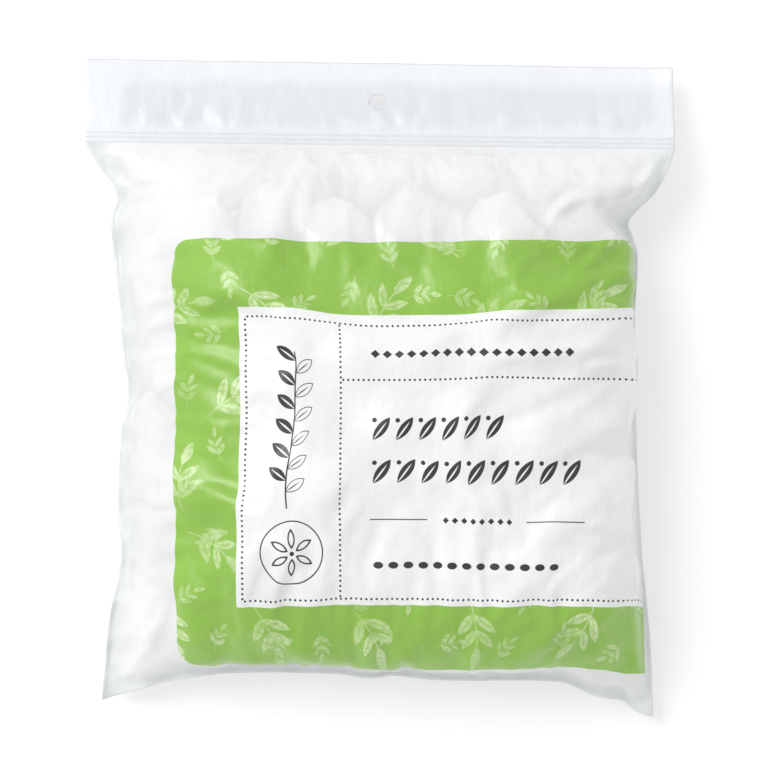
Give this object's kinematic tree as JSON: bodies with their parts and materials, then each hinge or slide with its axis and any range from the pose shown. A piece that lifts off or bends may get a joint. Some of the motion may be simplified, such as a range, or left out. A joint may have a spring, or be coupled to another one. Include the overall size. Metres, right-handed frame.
{
  "type": "bag of cotton balls",
  "caption": "Sealed, filled pillow bag of cotton balls in milky film, lying on its back, with a zip, a flat header, a round hang hole and printed colour fields.",
  "frame": {"origin": "on the flat underside that the bag rests on, under the middle of its width", "axes": "+X across the bag to the right seen from the printed front, +Y up the bag towards the header, +Z out of the printed front, upwards as the bag lies"},
  "size_m": [0.2206, 0.2481, 0.0607],
  "materials": {
    "film": "milky translucent polyethylene film with a soft gloss, printed on the front with a green field and a white field"
  },
  "bodies": {
    "root": {"cotton_ball_bag": "film"}
  },
  "joints": []
}
